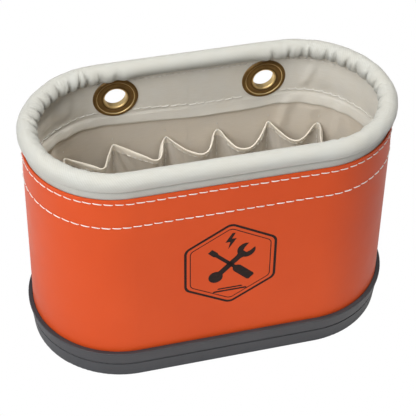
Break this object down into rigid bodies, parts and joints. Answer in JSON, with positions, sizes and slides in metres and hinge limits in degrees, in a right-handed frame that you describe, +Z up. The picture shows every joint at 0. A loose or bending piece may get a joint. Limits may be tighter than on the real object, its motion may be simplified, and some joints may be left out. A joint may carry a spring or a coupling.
{
  "type": "tool bucket organizer",
  "caption": "Oval hard-wall tool bucket with a moulded base tray, sewn canvas liner, padded rim, inner pockets and brass grommets in the rear wall.",
  "frame": {"origin": "centre of the base's resting plane", "axes": "+Z up, +X along the bucket's length, to the right of someone facing the front; the front is -Y and the grommets are in the rear wall, +Y"},
  "size_m": [0.366, 0.188, 0.2498],
  "materials": {
    "shell": "moulded-sheet wall, satin gloss, orange",
    "base": "moulded, matt black",
    "canvas": "heavy natural canvas",
    "pocket_canvas": "canvas",
    "piping": "foam cord hidden in the rim",
    "thread": "bonded sewing thread, off-white",
    "black_thread": "bonded sewing thread, black",
    "brass": "antiqued, dark, polished edges"
  },
  "bodies": {
    "root": {"outer_shell": "shell", "base_tray": "base", "base_stitching": "black_thread", "liner_wall": "canvas", "liner_floor": "canvas", "floor_binding": "canvas", "floor_stitching": "thread", "upper_band": "canvas", "rim_core": "piping", "rim_cover": "canvas", "rear_pocket_strip": "pocket_canvas", "front_pocket_strip": "pocket_canvas", "pocket_hem_tape": "canvas", "grommet_eyelet_left": "brass", "grommet_washer_left": "brass", "grommet_eyelet_right": "brass", "grommet_washer_right": "brass", "rim_stitching": "thread", "band_stitching": "thread", "pocket_seam_stitching": "thread", "shell_seam_stitching": "thread"}
  },
  "joints": []
}
